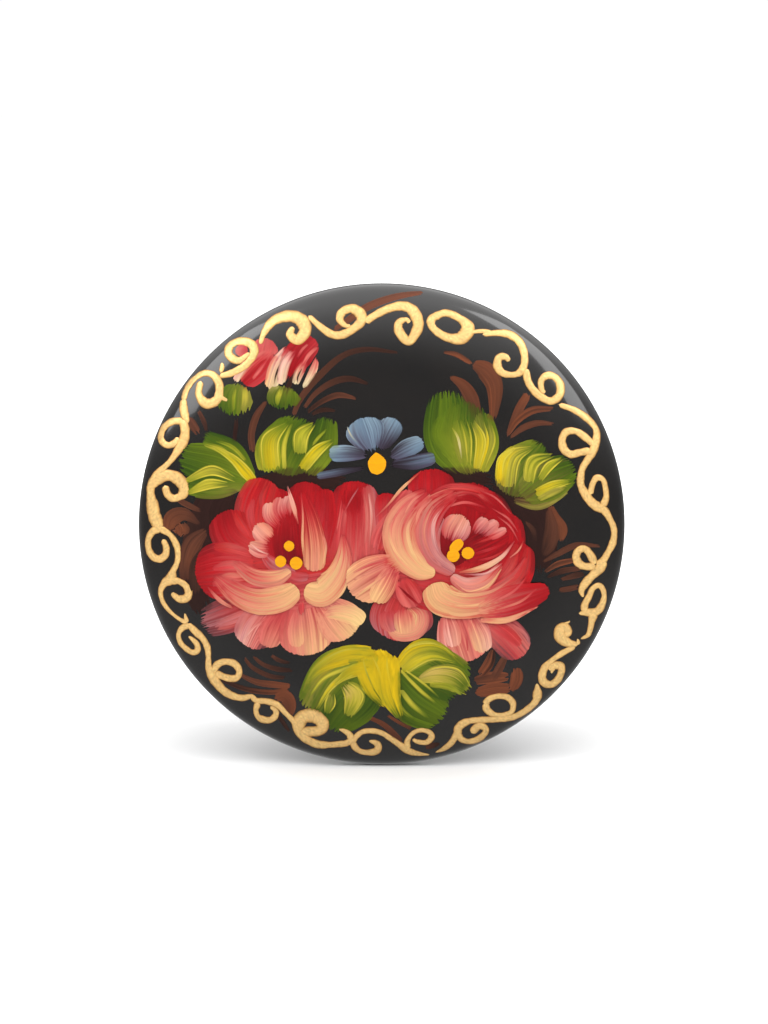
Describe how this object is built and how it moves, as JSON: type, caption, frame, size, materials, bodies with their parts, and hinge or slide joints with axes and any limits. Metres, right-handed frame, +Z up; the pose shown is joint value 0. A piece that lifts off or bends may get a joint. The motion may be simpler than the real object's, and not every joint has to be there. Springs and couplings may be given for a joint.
{
  "type": "hair barrette",
  "caption": "Round crowned lacquered disc with painted flowers on its front and a hinged spring barrette clip fixed across its flat back, for holding a lock of hair.",
  "frame": {"origin": "middle of the channel that holds the hair, on the axis of the disc; the back of the disc is 5.7 mm in front of it", "axes": "-Y out of the painted face, +Y towards the head, +X along the clip from its hinge to its catch, +Z up along the hair"},
  "size_m": [0.056, 0.0157, 0.056],
  "materials": {
    "lacquer": "pressed papier-mache under polished black lacquer, high gloss",
    "glue": "cured clear epoxy, slightly amber, smooth",
    "clip_steel": "nickel plated stamped steel, satin with fine drawing lines",
    "spring_steel": "plated spring steel, a little darker than the clip",
    "pin_steel": "bright nickel plated pin and rivet"
  },
  "bodies": {
    "disc_and_bar": {"disc": "lacquer", "glue_bed": "glue", "base_bar": "clip_steel", "hinge_pin": "pin_steel", "bow_spring": "spring_steel", "catch_plate": "spring_steel", "catch_rivet": "pin_steel"},
    "arm": {"clasp_arm": "clip_steel"},
    "wing_upper": {"catch_wing_upper": "spring_steel"},
    "wing_lower": {"catch_wing_lower": "spring_steel"}
  },
  "joints": [
    {"name": "clasp_hinge", "type": "hinge", "parent": "disc_and_bar", "child": "arm", "pos_m": [-0.0225, -0.00268, 0], "axis": [0, 0, 1], "range_deg": [0, 80]},
    {"name": "wing_upper_pinch", "type": "hinge", "parent": "disc_and_bar", "child": "wing_upper", "pos_m": [0.0219, -0.0042, 0.0021], "axis": [-1, 0, 0], "range_deg": [0, 9], "stiffness_Nm_per_rad": 0.02},
    {"name": "wing_lower_pinch", "type": "hinge", "parent": "disc_and_bar", "child": "wing_lower", "pos_m": [0.0219, -0.0042, -0.0021], "axis": [1, 0, 0], "range_deg": [0, 9], "stiffness_Nm_per_rad": 0.02}
  ],
  "couplings": [
    {"joint": "wing_lower_pinch", "follows": "wing_upper_pinch", "ratio": 1}
  ]
}
